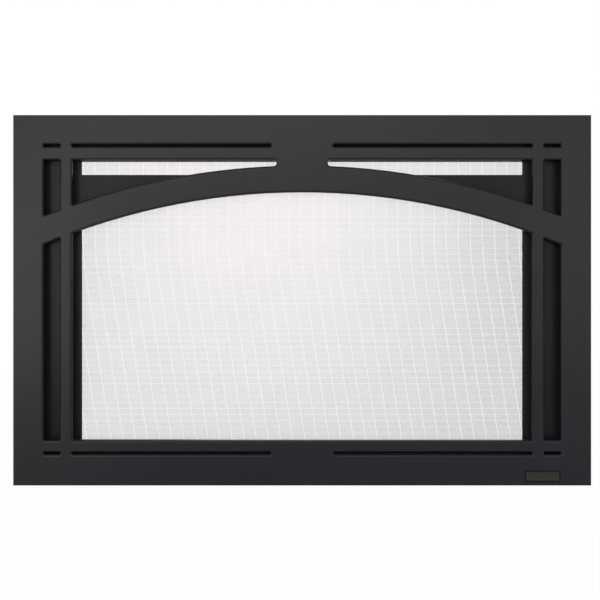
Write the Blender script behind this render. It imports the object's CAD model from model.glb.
import math

import bmesh
import bpy
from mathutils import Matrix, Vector


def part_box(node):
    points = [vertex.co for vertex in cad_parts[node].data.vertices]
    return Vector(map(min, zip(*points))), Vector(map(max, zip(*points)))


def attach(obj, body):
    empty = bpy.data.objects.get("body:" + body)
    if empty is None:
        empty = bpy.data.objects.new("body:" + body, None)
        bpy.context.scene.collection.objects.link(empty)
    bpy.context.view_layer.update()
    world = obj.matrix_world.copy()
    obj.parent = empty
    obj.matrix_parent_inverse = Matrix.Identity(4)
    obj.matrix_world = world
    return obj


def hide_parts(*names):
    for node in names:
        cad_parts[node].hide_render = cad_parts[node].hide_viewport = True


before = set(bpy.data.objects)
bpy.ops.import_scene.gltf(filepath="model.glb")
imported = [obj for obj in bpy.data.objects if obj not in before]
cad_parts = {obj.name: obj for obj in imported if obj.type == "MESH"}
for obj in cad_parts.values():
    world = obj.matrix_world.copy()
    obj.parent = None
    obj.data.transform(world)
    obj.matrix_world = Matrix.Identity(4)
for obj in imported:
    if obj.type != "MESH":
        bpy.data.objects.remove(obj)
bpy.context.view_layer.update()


# Face plate. One iron casting with softly rounded edges, so that its bars, arch and margins are one piece.
# It is sprayed with satin black stove paint, which follows the fine grain of the sand mould,
# and has a slightly cloudy sheen.
COAT_DARK = (0.0086, 0.0098, 0.0140, 1)
COAT_PALE = (0.0122, 0.0136, 0.0182, 1)
COAT_CLOUDS = 7.0
COAT_CLOUD_DETAIL = 4.0
COAT_GRAIN = 650.0
COAT_GRAIN_DEPTH = 0.00003
COAT_GRAIN_STRENGTH = 0.4
COAT_ROUGH = 0.32
COAT_ROUGH_SPREAD = 0.08
COAT_SPECULAR = 0.165
MIDDLE_SHADE = 0.5


class Value:
    """A shader value. Arithmetic on it adds Math nodes, and node() adds any other kind of node."""

    def __init__(self, tree, socket):
        self.tree = tree
        self.socket = socket

    def node(self, kind, settings, inputs, output=0):
        """A new node with its settings, and then the values or links of its sockets. Gives one output."""
        made = self.tree.nodes.new("ShaderNode" + kind)
        for name, setting in settings.items():
            setattr(made, name, setting)
        for name, value in inputs.items():
            if isinstance(value, Value):
                self.tree.links.new(value.socket, made.inputs[name])
            else:
                made.inputs[name].default_value = value
        return Value(self.tree, made.outputs[output])

    def math(self, operation, first, second):
        """A Math node on two values."""
        return self.node("Math", {"operation": operation}, {0: first, 1: second})

    def __add__(self, other):
        return self.math("ADD", self, other)

    def __radd__(self, other):
        return self.math("ADD", other, self)

    def __sub__(self, other):
        return self.math("SUBTRACT", self, other)

    def __rsub__(self, other):
        return self.math("SUBTRACT", other, self)

    def __mul__(self, other):
        return self.math("MULTIPLY", self, other)

    def __rmul__(self, other):
        return self.math("MULTIPLY", other, self)

    def __gt__(self, other):
        return self.math("GREATER_THAN", self, other)

    def __lt__(self, other):
        return self.math("LESS_THAN", self, other)

    def feed(self, shader, socket):
        """Links this value to one of a shader's sockets."""
        self.tree.links.new(self.socket, shader.inputs[socket])


def new_finish(name):
    """A new material, its shader, and the place on the object in metres."""
    material = bpy.data.materials.new(name)
    material.use_nodes = True
    tree = material.node_tree
    place = Value(tree, tree.nodes.new("ShaderNodeTexCoord").outputs["Object"])
    return material, tree.nodes["Principled BSDF"], place


def noise(place, scale, detail=2.0):
    """Soft random shade from 0 to 1, with about as many patches to the metre as its scale."""
    return place.node("TexNoise", {}, {"Vector": place, "Scale": scale, "Detail": detail})


def blend_colours(share, first, second):
    """A colour between two others."""
    return share.node("Mix", {"data_type": "RGBA"}, {0: share, 6: first, 7: second}, 2)


def add_bump(shader, height, depth, strength):
    """Raises the surface a little where the height is more."""
    bump = height.node("Bump", {}, {"Height": height, "Distance": depth, "Strength": strength}, "Normal")
    bump.feed(shader, "Normal")


def coat(material, *nodes):
    """Gives CAD nodes a finish."""
    for node in nodes:
        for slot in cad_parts[node].material_slots:
            slot.material = material


stove_paint, shader, place = new_finish("stove_paint_black")
clouds = noise(place, COAT_CLOUDS, COAT_CLOUD_DETAIL)
cast_grain = noise(place, COAT_GRAIN)
blend_colours(clouds, COAT_DARK, COAT_PALE).feed(shader, "Base Color")
(COAT_ROUGH + (clouds - MIDDLE_SHADE) * COAT_ROUGH_SPREAD).feed(shader, "Roughness")
shader.inputs["Specular IOR Level"].default_value = COAT_SPECULAR
add_bump(shader, cast_grain, COAT_GRAIN_DEPTH, COAT_GRAIN_STRENGTH)
coat(stove_paint, "face_plate")


# Badge. A small die-struck metal plate, bonded to the lower right corner of the face plate and left blank.
# Its raised rim is black lacquer, which runs a little way into the sunk field of dull brushed metal.
BADGE_BORDER = 0.0026
BADGE_METAL = (0.030, 0.0325, 0.030, 1)
BADGE_LACQUER = (0.0034, 0.0037, 0.0040, 1)
BADGE_SPECULAR = 0.12
BADGE_METALLIC = 0.9
BADGE_ROUGH = 0.34
BADGE_ROUGH_SPREAD = 0.15
BADGE_BRUSH = 3000.0
BADGE_BRUSH_STRETCH = (0.02, 1.0, 1.0)
BADGE_BRUSH_DEPTH = 0.00001
BADGE_BRUSH_STRENGTH = 0.3


def along(place, axis):
    """How far a place is along one axis."""
    return place.node("SeparateXYZ", {}, {"Vector": place}, axis)


badge_metal, shader, place = new_finish("badge_metal")
badge_low, badge_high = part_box("name_badge")
across = along(place, "X")
upward = along(place, "Z")
in_width = (across > badge_low.x + BADGE_BORDER) * (across < badge_high.x - BADGE_BORDER)
in_height = (upward > badge_low.z + BADGE_BORDER) * (upward < badge_high.z - BADGE_BORDER)
field = in_width * in_height
brush_place = place.node("Mapping", {}, {"Vector": place, "Scale": BADGE_BRUSH_STRETCH})
brush = noise(brush_place, BADGE_BRUSH)
blend_colours(field, BADGE_LACQUER, BADGE_METAL).feed(shader, "Base Color")
(field * BADGE_METALLIC).feed(shader, "Metallic")
(BADGE_ROUGH + brush * BADGE_ROUGH_SPREAD).feed(shader, "Roughness")
shader.inputs["Specular IOR Level"].default_value = BADGE_SPECULAR
add_bump(shader, brush, BADGE_BRUSH_DEPTH, BADGE_BRUSH_STRENGTH)
coat(badge_metal, "name_badge")


# Face studs. Zinc plated steel studs with a rolled thread, screwed into tapped holes behind the casting.
# Their free end has a short chamfer, so that a nut starts easily.
THREAD_PITCH = 0.0008
THREAD_DEPTH = 0.00040
THREAD_STEPS = 12
SPARE_TURNS = 2
STUD_CHAMFER = 0.0006
STUD_CREASE = 25
ZINC_BLUE = (0.34, 0.36, 0.39, 1)
ZINC_YELLOW = (0.41, 0.385, 0.325, 1)
ZINC_PATCHES = 160.0
ZINC_PATCH_DETAIL = 4.0
ZINC_GRAIN = 1920.0
ZINC_ROUGH = 0.32
ZINC_ROUGH_SPREAD = 0.2
SAME_PLACE = 1e-6


def solid_boxes(node):
    """The lowest and highest corner of each separate solid of a CAD node."""
    whole = bmesh.new()
    whole.from_mesh(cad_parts[node].data)
    bmesh.ops.remove_doubles(whole, verts=whole.verts, dist=SAME_PLACE)
    left = set(whole.verts)
    boxes = []
    while left:
        reached = [left.pop()]
        corners = []
        while reached:
            vert = reached.pop()
            corners.append(vert.co.copy())
            near = {edge.other_vert(vert) for edge in vert.link_edges} & left
            left -= near
            reached += near
        lowest = Vector(min(corner[axis] for corner in corners) for axis in range(3))
        highest = Vector(max(corner[axis] for corner in corners) for axis in range(3))
        boxes.append((lowest, highest))
    whole.free()
    return boxes


def threaded_rod(radius, length):
    """A threaded rod that runs from the origin along +Y and ends in a chamfer."""
    rod = bmesh.new()
    root = radius - THREAD_DEPTH
    turns = math.ceil(length / THREAD_PITCH) + SPARE_TURNS
    outline = ((root, -THREAD_PITCH), (radius, -THREAD_PITCH / 2), (root, 0))
    corners = [rod.verts.new((x, y, 0)) for x, y in outline]
    edges = [rod.edges.new(pair) for pair in zip(corners, corners[1:])]
    bmesh.ops.spin(
        rod, geom=corners + edges, cent=(0, 0, 0), axis=(0, 1, 0), angle=math.tau * turns,
        steps=THREAD_STEPS * turns, dvec=(0, THREAD_PITCH / THREAD_STEPS, 0),
    )
    bmesh.ops.remove_doubles(rod, verts=rod.verts, dist=SAME_PLACE)
    for level, outwards in ((0, -1), (length, 1)):
        geometry = rod.verts[:] + rod.edges[:] + rod.faces[:]
        bmesh.ops.bisect_plane(
            rod, geom=geometry, plane_co=(0, level, 0), plane_no=(0, outwards, 0), clear_outer=True,
        )
    rims = [edge for edge in rod.edges if edge.is_boundary]
    bmesh.ops.holes_fill(rod, edges=rims)
    for vert in rod.verts:
        most = radius - max(vert.co.y - (length - STUD_CHAMFER), 0)
        here = math.hypot(vert.co.x, vert.co.z)
        if here > most:
            vert.co.x *= most / here
            vert.co.z *= most / here
    bmesh.ops.recalc_face_normals(rod, faces=rod.faces)
    return rod


def add_copy(whole, shape, place):
    """Adds a copy of a shape to a whole at a place."""
    template = bpy.data.meshes.new("template")
    shape.to_mesh(template)
    before = len(whole.verts)
    whole.from_mesh(template)
    whole.verts.ensure_lookup_table()
    bmesh.ops.translate(whole, verts=whole.verts[before:], vec=place)
    bpy.data.meshes.remove(template)


def new_piece(name, shape, material, crease):
    """A new object from a finished shape, smooth but for edges sharper than a crease in degrees."""
    mesh = bpy.data.meshes.new(name)
    shape.to_mesh(mesh)
    shape.free()
    mesh.shade_smooth()
    mesh.set_sharp_from_angle(angle=math.radians(crease))
    mesh.materials.append(material)
    piece = bpy.data.objects.new(name, mesh)
    bpy.context.scene.collection.objects.link(piece)
    return piece


def threaded_studs(name, node, material):
    """A threaded rod in place of each solid of a node."""
    whole = bmesh.new()
    for low, high in solid_boxes(node):
        middle = (low + high) / 2
        rod = threaded_rod((high.x - low.x) / 2, high.y - low.y)
        add_copy(whole, rod, (middle.x, low.y, middle.z))
        rod.free()
    return new_piece(name, whole, material, STUD_CREASE)


zinc, shader, place = new_finish("zinc_plate")
patches = noise(place, ZINC_PATCHES, ZINC_PATCH_DETAIL)
grain = noise(place, ZINC_GRAIN)
blend_colours(patches, ZINC_BLUE, ZINC_YELLOW).feed(shader, "Base Color")
(ZINC_ROUGH + (grain - MIDDLE_SHADE) * ZINC_ROUGH_SPREAD).feed(shader, "Roughness")
shader.inputs["Metallic"].default_value = 1.0
face_studs = threaded_studs("threaded_face_studs", "face_studs", zinc)
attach(face_studs, "root")
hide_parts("face_studs")


# Rails. Four lengths of sheet steel, bent into a Z and drilled, that hold the casting and the panel apart.
# They are painted black on all sides before they go on, and the paint is smoother than the casting's.
PAINT_DARK = (0.0105, 0.0114, 0.0141, 1)
PAINT_PALE = (0.0171, 0.0183, 0.0216, 1)
PAINT_CLOUDS = 11.0
PAINT_CLOUD_DETAIL = 5.0
PAINT_GRAIN = 900.0
PAINT_GRAIN_DEPTH = 0.00001
PAINT_GRAIN_STRENGTH = 0.3
PAINT_ROUGH_SPREAD = 0.06
PAINT_SPECULAR = 0.075
RAIL_ROUGH = 0.34


def satin_paint(name, roughness):
    """Smooth black paint with a faintly uneven gloss."""
    material, shader, place = new_finish(name)
    clouds = noise(place, PAINT_CLOUDS, PAINT_CLOUD_DETAIL)
    grain = noise(place, PAINT_GRAIN)
    blend_colours(clouds, PAINT_DARK, PAINT_PALE).feed(shader, "Base Color")
    (roughness + (clouds - MIDDLE_SHADE) * PAINT_ROUGH_SPREAD).feed(shader, "Roughness")
    shader.inputs["Specular IOR Level"].default_value = PAINT_SPECULAR
    add_bump(shader, grain, PAINT_GRAIN_DEPTH, PAINT_GRAIN_STRENGTH)
    return material


rail_paint = satin_paint("rail_paint_black", RAIL_ROUGH)
coat(rail_paint, "rail_left", "rail_right", "rail_top", "rail_bottom")


# Face nuts. Zinc plated hexagon nuts with a round flange, run down the face studs onto the rails.
# A turned chamfer takes the corners off the hexagon, and leaves an arc on each flat.
NUT_FLATS = 0.0080
NUT_BORE = 0.0052
NUT_FLANGE = 0.0012
NUT_CHAMFER = 0.0008
NUT_CHAMFER_SLOPE = 0.6
NUT_CHAMFER_STEPS = 4
NUT_EDGE = 0.0003
NUT_STEPS = 48
NUT_SIDE_ANGLE = 60
NUT_CREASE = 20


def turned(outline, steps):
    """A solid turned about the Y axis from a closed outline of (radius, depth) corners."""
    shape = bmesh.new()
    corners = [shape.verts.new((radius, depth, 0)) for radius, depth in outline]
    edges = [shape.edges.new(pair) for pair in zip(corners, corners[1:] + corners[:1])]
    bmesh.ops.spin(
        shape, geom=corners + edges, cent=(0, 0, 0), axis=(0, 1, 0), angle=math.tau, steps=steps,
        use_merge=True,
    )
    bmesh.ops.remove_doubles(shape, verts=shape.verts, dist=SAME_PLACE)
    bmesh.ops.recalc_face_normals(shape, faces=shape.faces)
    return shape


def flange_nut(flange_radius, height):
    """A nut that stands on its flange at the origin and rises along +Y."""
    corner = NUT_FLATS / math.sqrt(3)
    flat = NUT_FLATS / 2
    bore = NUT_BORE / 2
    outline = [(bore, 0), (flange_radius - NUT_EDGE, 0), (flange_radius, NUT_EDGE), (corner, NUT_FLANGE)]
    for step in range(NUT_CHAMFER_STEPS + 1):
        share = step / NUT_CHAMFER_STEPS
        fall = NUT_CHAMFER * NUT_CHAMFER_SLOPE * (1 - share)
        outline.append((corner - NUT_CHAMFER * share, height - fall))
    outline += [(bore + NUT_EDGE, height), (bore, height - NUT_EDGE)]
    nut = turned(outline, NUT_STEPS)
    for vert in nut.verts:
        if vert.co.y < NUT_FLANGE - SAME_PLACE:
            continue
        off_flat = math.degrees(math.atan2(vert.co.z, vert.co.x)) % NUT_SIDE_ANGLE - NUT_SIDE_ANGLE / 2
        most = flat / math.cos(math.radians(off_flat))
        here = math.hypot(vert.co.x, vert.co.z)
        if here > most:
            vert.co.x *= most / here
            vert.co.z *= most / here
    return nut


def flange_nuts(name, node, material):
    """A chamfered nut in place of each solid of a node."""
    whole = bmesh.new()
    for low, high in solid_boxes(node):
        middle = (low + high) / 2
        nut = flange_nut((high.x - low.x) / 2, high.y - low.y)
        add_copy(whole, nut, (middle.x, low.y, middle.z))
        nut.free()
    return new_piece(name, whole, material, NUT_CREASE)


face_nuts = flange_nuts("chamfered_face_nuts", "face_nuts", zinc)
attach(face_nuts, "root")
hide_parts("face_nuts")


# Screen panel. A plain steel sheet, cut by laser, 19 mm behind the casting, with an arched window and a vent.
# Its paint is smooth enough to mirror the dark back of the casting beside each slot.
PANEL_ROUGH = 0.26

panel_paint = satin_paint("panel_paint_black", PANEL_ROUGH)
coat(panel_paint, "screen_panel")


# Panel rivets. Zinc plated blind rivets, set from behind through the screen panel and the rails.
# Each has a low domed head behind, with the hole that its mandrel was pulled through, and a crushed tail
# inside the rail.
RIVET_SHANK = 0.0040
RIVET_HEAD = 0.0015
RIVET_RIM = 0.0005
RIVET_TAIL = 0.0060
RIVET_TAIL_LENGTH = 0.0030
RIVET_TAIL_SHARES = ((0.5, 0.0), (0.9, 0.2), (1.0, 0.5), (0.9, 0.8))
MANDREL = 0.0024
MANDREL_DEPTH = 0.0008
RIVET_STEPS = 24
DOME_STEPS = 5
RIVET_CREASE = 35


def blind_rivet(head_radius, length):
    """A set rivet that runs from its tail at the origin along +Y to its domed head."""
    shank, tail, mandrel = RIVET_SHANK / 2, RIVET_TAIL / 2, MANDREL / 2
    seat = length - RIVET_HEAD
    outline = [(0, 0)] + [(tail * out, RIVET_TAIL_LENGTH * on) for out, on in RIVET_TAIL_SHARES]
    outline += [(shank, RIVET_TAIL_LENGTH), (shank, seat), (head_radius, seat)]
    for step in range(DOME_STEPS + 1):
        turn = math.pi / 2 * step / DOME_STEPS
        reach = mandrel + (head_radius - mandrel) * math.cos(turn)
        outline.append((reach, seat + RIVET_RIM + (RIVET_HEAD - RIVET_RIM) * math.sin(turn)))
    outline += [(mandrel, length - MANDREL_DEPTH), (0, length - MANDREL_DEPTH)]
    return turned(outline, RIVET_STEPS)


def blind_rivets(name, node, material):
    """A domed rivet in place of each solid of a node."""
    whole = bmesh.new()
    for low, high in solid_boxes(node):
        middle = (low + high) / 2
        rivet = blind_rivet((high.x - low.x) / 2, high.y - low.y)
        add_copy(whole, rivet, (middle.x, low.y, middle.z))
        rivet.free()
    return new_piece(name, whole, material, RIVET_CREASE)


panel_rivets = blind_rivets("domed_panel_rivets", "panel_rivets", zinc)
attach(panel_rivets, "root")
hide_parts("panel_rivets")


# Arch studs and spacers. Long studs set in the back of the arch, each in a tube that holds the panel off.
# They are zinc plated, and their thread shows where they pass through the middle strip.
arch_studs = threaded_studs("threaded_arch_studs", "arch_studs", zinc)
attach(arch_studs, "root")
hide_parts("arch_studs")
coat(zinc, "arch_spacers")


# Wire mesh. Fine bright steel wire, the uprights in front of the level wires and welded where they cross.
# The wires are laid in bands, with a wider gap after each band. The mesh is clamped flat at its edges,
# but its uprights lean over towards the bottom, and heat and soot have dulled its lower part and sides.
WIRE = 0.00037
WIRE_SIDES = 6
WIRE_CREASE = 80
UPRIGHT_BAND = 0.0213
UPRIGHTS_IN_BAND = 12
UPRIGHT_PITCH = 0.00163
LEVEL_BAND = 0.01085
LEVELS_IN_BAND = 7
LEVEL_PITCH = 0.00144
BAND_CUT = 0.0186
LEAN_SLOPE = 0.155
LEAN_HEIGHT = 0.394
LEAN_BEND = 0.030
LEAN_EASE = 0.25
WIRE_PALE = (0.62, 0.55, 0.575, 1)
WIRE_DULL = (0.146, 0.149, 0.178, 1)
DULL_LOW = 0.65
DULL_RIGHT = 0.26
DULL_SIDES = 1.16
CLEAN_TOP = 0.25
CLEAN_TOP_DULL = 0.42
WIRE_BLOTCHES = 14.0
WIRE_BLOTCH_DETAIL = 4.0
WIRE_BLOTCH_SPREAD = 0.20
WIRE_ROUGH = 0.30
WIRE_ROUGH_SPREAD = 0.15


def copy_along(shape, step, count):
    """Repeats everything in a shape, each copy one step on from the last."""
    geometry = shape.verts[:] + shape.edges[:] + shape.faces[:]
    bmesh.ops.spin(
        shape, geom=geometry, cent=(0, 0, 0), axis=(0, 0, 1), angle=0, steps=count - 1,
        dvec=step, use_duplicate=True,
    )


def draw_wire(shape, route):
    """A wire along a route, with a ring of edges at each of its points."""
    start, last = Vector(route[0]), Vector(route[-1])
    turn = Vector((0, 0, 1)).rotation_difference(last - start).to_matrix().to_4x4()
    ring = bmesh.ops.create_circle(shape, segments=WIRE_SIDES, radius=WIRE / 2, cap_ends=True, matrix=turn)
    bmesh.ops.translate(shape, verts=ring["verts"], vec=start)
    edges = list({edge for vert in ring["verts"] for edge in vert.link_edges})
    for here, there in zip(route, route[1:]):
        grown = bmesh.ops.extrude_edge_only(shape, edges=edges)["geom"]
        verts = [item for item in grown if isinstance(item, bmesh.types.BMVert)]
        edges = [item for item in grown if isinstance(item, bmesh.types.BMEdge)]
        bmesh.ops.translate(shape, verts=verts, vec=Vector(there) - Vector(here))
    bmesh.ops.contextual_create(shape, geom=edges)


def trim(shape, edge, outwards):
    """Cuts a shape off where it passes an upright edge, and closes the cut."""
    geometry = shape.verts[:] + shape.edges[:] + shape.faces[:]
    bmesh.ops.bisect_plane(
        shape, geom=geometry, plane_co=(edge, 0, 0), plane_no=(outwards, 0, 0), clear_outer=True,
    )
    bmesh.ops.holes_fill(shape, edges=[rim for rim in shape.edges if rim.is_boundary])


mesh_low, mesh_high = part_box("mesh_screen")
upright_depth = mesh_low.y + WIRE / 2
level_depth = upright_depth + WIRE
lean = LEAN_SLOPE * (LEAN_HEIGHT - mesh_low.z)
first = mesh_low.x - lean - BAND_CUT
route = [
    (first + lean, upright_depth, mesh_low.z),
    (first + LEAN_SLOPE * LEAN_BEND, upright_depth, LEAN_HEIGHT - LEAN_BEND),
    (first + LEAN_SLOPE * LEAN_BEND * LEAN_EASE, upright_depth, LEAN_HEIGHT),
    (first, upright_depth, LEAN_HEIGHT + LEAN_BEND),
    (first, upright_depth, mesh_high.z),
]
wires = bmesh.new()
draw_wire(wires, route)
copy_along(wires, (UPRIGHT_PITCH, 0, 0), UPRIGHTS_IN_BAND)
copy_along(wires, (UPRIGHT_BAND, 0, 0), math.ceil((mesh_high.x - first) / UPRIGHT_BAND))
trim(wires, mesh_low.x, -1)
trim(wires, mesh_high.x, 1)
level_wires = bmesh.new()
lowest = mesh_low.z + WIRE / 2
draw_wire(level_wires, [(mesh_low.x, level_depth, lowest), (mesh_high.x, level_depth, lowest)])
copy_along(level_wires, (0, 0, LEVEL_PITCH), LEVELS_IN_BAND)
copy_along(level_wires, (0, 0, LEVEL_BAND), int((mesh_high.z - lowest) / LEVEL_BAND))
add_copy(wires, level_wires, (0, 0, 0))
level_wires.free()
bmesh.ops.recalc_face_normals(wires, faces=wires.faces)

wire_steel, shader, place = new_finish("bright_wire")
blotch = noise(place, WIRE_BLOTCHES, WIRE_BLOTCH_DETAIL)
across = along(place, "X")
upward = along(place, "Z")
sunk = (mesh_high.z - upward) * (1 / (mesh_high.z - mesh_low.z))
aside = across * (1 / mesh_high.x)
below_top = place.node("MapRange", {}, {"Value": sunk, "From Max": CLEAN_TOP, "To Min": CLEAN_TOP_DULL})
by_sides = (aside * DULL_RIGHT + aside * aside * (1 - sunk) * DULL_SIDES) * below_top
dullness = sunk * DULL_LOW + by_sides + (blotch - MIDDLE_SHADE) * WIRE_BLOTCH_SPREAD
blend_colours(dullness, WIRE_PALE, WIRE_DULL).feed(shader, "Base Color")
(WIRE_ROUGH + blotch * WIRE_ROUGH_SPREAD).feed(shader, "Roughness")
shader.inputs["Metallic"].default_value = 1.0
wire_mesh = new_piece("wire_mesh", wires, wire_steel, WIRE_CREASE)
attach(wire_mesh, "root")
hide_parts("mesh_screen")


# Mesh retainers. Flat steel strips behind the mesh that clamp its edges against the screen panel.
# They are sheared from sheet, punched for their screws, and painted as the rails are.
coat(
    rail_paint, "mesh_retainer_top", "mesh_retainer_bottom", "mesh_retainer_left", "mesh_retainer_right",
    "mesh_retainer_middle",
)


# Retainer screws. Pan-head sheet-metal screws with a cross recess, driven through the strips from behind.
# Their black phosphate finish is dull, and grey where a driver has rubbed it.
PHOSPHATE_DARK = (0.012, 0.012, 0.013, 1)
PHOSPHATE_RUBBED = (0.06, 0.06, 0.062, 1)
PHOSPHATE_RUBS = 500.0
PHOSPHATE_RUB_DETAIL = 3.0
PHOSPHATE_ROUGH = 0.45
PHOSPHATE_ROUGH_SPREAD = 0.2
PHOSPHATE_METALLIC = 0.3

phosphate, shader, place = new_finish("black_phosphate")
rubbed = noise(place, PHOSPHATE_RUBS, PHOSPHATE_RUB_DETAIL)
blend_colours(rubbed, PHOSPHATE_DARK, PHOSPHATE_RUBBED).feed(shader, "Base Color")
(PHOSPHATE_ROUGH + rubbed * PHOSPHATE_ROUGH_SPREAD).feed(shader, "Roughness")
shader.inputs["Metallic"].default_value = PHOSPHATE_METALLIC
coat(phosphate, "retainer_screws")


# Arch nuts. Steel flange nuts, run down the long studs from behind, that clamp the middle strip.
# They are zinc plated, the same as the face nuts.
arch_nuts = flange_nuts("chamfered_arch_nuts", "arch_nuts", zinc)
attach(arch_nuts, "root")
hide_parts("arch_nuts")


# Hanger hooks. Flat steel bars, bent over twice and riveted to the screen panel, so that the front can hang.
# They are painted black, and the rivets are zinc plated.
coat(rail_paint, "hanger_hook_left", "hanger_hook_right")
hook_rivets = blind_rivets("domed_hook_rivets", "hook_rivets", zinc)
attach(hook_rivets, "root")
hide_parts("hook_rivets")


# Magnets. Ring magnets in zinc plated steel pots, each held by a countersunk screw and a nut on the rail.
# The rings are nickel plated and bright, and they keep the bottom edge of the front against the firebox.
NICKEL_WARM = (0.60, 0.56, 0.50, 1)
NICKEL_COOL = (0.52, 0.51, 0.49, 1)
NICKEL_HAZE = 300.0
NICKEL_HAZE_DETAIL = 3.0
NICKEL_ROUGH = 0.16
NICKEL_ROUGH_SPREAD = 0.12

nickel, shader, place = new_finish("nickel_plate")
haze = noise(place, NICKEL_HAZE, NICKEL_HAZE_DETAIL)
blend_colours(haze, NICKEL_WARM, NICKEL_COOL).feed(shader, "Base Color")
(NICKEL_ROUGH + haze * NICKEL_ROUGH_SPREAD).feed(shader, "Roughness")
shader.inputs["Metallic"].default_value = 1.0
coat(nickel, "magnet_rings")
coat(zinc, "magnet_cups", "magnet_screws", "magnet_nuts")


# Floor. A plain pale studio floor, matt, which the front stands on.
# It looks white to the camera, in reflections and through the mesh, and keeps the shadow of the front.
FLOOR_SIDE = 30.0
FLOOR_PALE = (0.80, 0.80, 0.80, 1)
FLOOR_PALER = (0.82, 0.82, 0.82, 1)
FLOOR_SMUDGES = 3.0
FLOOR_ROUGH = 0.9
FLOOR_SPECULAR = 0.1
FLOOR_WHITE_NEAR = 0.97
FLOOR_FADE = (0.6, 2.4)
FLOOR_CREASE = 30
ANY_RAY = 0.5
WHITE = (1, 1, 1, 1)


def seen_directly(value):
    """1 for a ray from the camera, a reflection or clear glass, and 0 for light that falls on a surface."""
    camera_ray = value.node("LightPath", {}, {}, "Is Camera Ray")
    glossy_ray = value.node("LightPath", {}, {}, "Is Glossy Ray")
    clear_ray = value.node("LightPath", {}, {}, "Is Transmission Ray")
    return (camera_ray + glossy_ray + clear_ray) > ANY_RAY


floor_finish, shader, place = new_finish("studio_floor")
smudge = noise(place, FLOOR_SMUDGES)
blend_colours(smudge, FLOOR_PALE, FLOOR_PALER).feed(shader, "Base Color")
shader.inputs["Roughness"].default_value = FLOOR_ROUGH
shader.inputs["Specular IOR Level"].default_value = FLOOR_SPECULAR
tree = floor_finish.node_tree
glow = place.node("Emission", {}, {"Color": WHITE, "Strength": 1.0})
matt = Value(tree, shader.outputs["BSDF"])
reach = place.node("VectorMath", {"operation": "LENGTH"}, {0: place}, "Value")
fade_start, fade_end = FLOOR_FADE
whiteness = place.node("MapRange", {}, {
    "Value": reach, "From Min": fade_start, "From Max": fade_end, "To Min": FLOOR_WHITE_NEAR, "To Max": 1.0,
})
look = place.node("MixShader", {}, {0: seen_directly(place) * whiteness, 1: matt, 2: glow})
look.feed(tree.nodes["Material Output"], "Surface")
floor_shape = bmesh.new()
bmesh.ops.create_grid(floor_shape, x_segments=1, y_segments=1, size=FLOOR_SIDE / 2)
floor = new_piece("floor", floor_shape, floor_finish, FLOOR_CREASE)


# Studio light. A weak, even surround and four upright soft boxes: a large one to the left of the front,
# one above the camera, a weak one to the right, and one behind the front for its back.
SURROUND = 0.33
SURROUND_COOL = (0.94, 0.98, 1.06, 1)
LAMP_WARM = (1.0, 0.935, 0.83)
LEFT_PLACE, LEFT_SIZE, LEFT_POWER = Vector((-1.90, -1.5, 0.28)), (2.5, 0.66), 21.6
UPPER_PLACE, UPPER_SIZE, UPPER_POWER = Vector((-0.25, -2.6, 1.30)), (1.9, 1.3), 28.6
RIGHT_PLACE, RIGHT_SIZE, RIGHT_POWER = Vector((1.08, -1.6, 0.44)), (0.9, 0.94), 4.7
BACK_PLACE, BACK_SIZE, BACK_POWER = Vector((0.80, 2.4, 1.20)), (2.4, 1.6), 45.0
FORWARD = Vector((0, 1, 0))

world = bpy.data.worlds.new("studio")
world.use_nodes = True
background = world.node_tree.nodes["Background"]
surround = Value(world.node_tree, None)
direct = seen_directly(surround)
blend_colours(direct, SURROUND_COOL, WHITE).feed(background, "Color")
(SURROUND + direct * (1 - SURROUND)).feed(background, "Strength")
bpy.context.scene.world = world


def soft_box(name, place, size, power, facing):
    """A rectangular area light that faces one way."""
    light = bpy.data.lights.new(name, "AREA")
    light.shape = "RECTANGLE"
    light.size, light.size_y = size
    light.energy = power
    light.color = LAMP_WARM
    lamp = bpy.data.objects.new(name, light)
    lamp.location = place
    lamp.rotation_euler = facing.to_track_quat("-Z", "Y").to_euler()
    lamp.visible_camera = False
    bpy.context.scene.collection.objects.link(lamp)


soft_box("left_box", LEFT_PLACE, LEFT_SIZE, LEFT_POWER, FORWARD)
soft_box("upper_box", UPPER_PLACE, UPPER_SIZE, UPPER_POWER, FORWARD)
soft_box("right_box", RIGHT_PLACE, RIGHT_SIZE, RIGHT_POWER, FORWARD)
soft_box("back_box", BACK_PLACE, BACK_SIZE, BACK_POWER, -FORWARD)


# Camera. It stands square to the front, and its view is set by where the plate's edges lie in the photograph,
# in pixels from the upper left corner. The picture is shifted, because the lens is above its middle.
PHOTO_SIDE = 600.0
PLATE_LEFT = 13.07
PLATE_RIGHT = 591.29
PLATE_TOP = 115.0
LENS_ROW = 230.0
DISTANCE = 1.9
SENSOR = 36.0

plate_low, plate_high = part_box("face_plate")
pixel = (plate_high.x - plate_low.x) / (PLATE_RIGHT - PLATE_LEFT)
view_width = PHOTO_SIDE * pixel
lens_x = plate_low.x + (PHOTO_SIDE / 2 - PLATE_LEFT) * pixel
lens_z = plate_high.z - (LENS_ROW - PLATE_TOP) * pixel
camera_data = bpy.data.cameras.new("camera")
camera_data.sensor_width = SENSOR
camera_data.lens = SENSOR * DISTANCE / view_width
camera_data.shift_y = (LENS_ROW - PHOTO_SIDE / 2) / PHOTO_SIDE
camera = bpy.data.objects.new("camera", camera_data)
camera.location = (lens_x, plate_low.y - DISTANCE, lens_z)
camera.rotation_euler = (math.radians(90), 0, 0)
bpy.context.scene.collection.objects.link(camera)
bpy.context.scene.camera = camera
bpy.context.scene.view_settings.view_transform = "Standard"
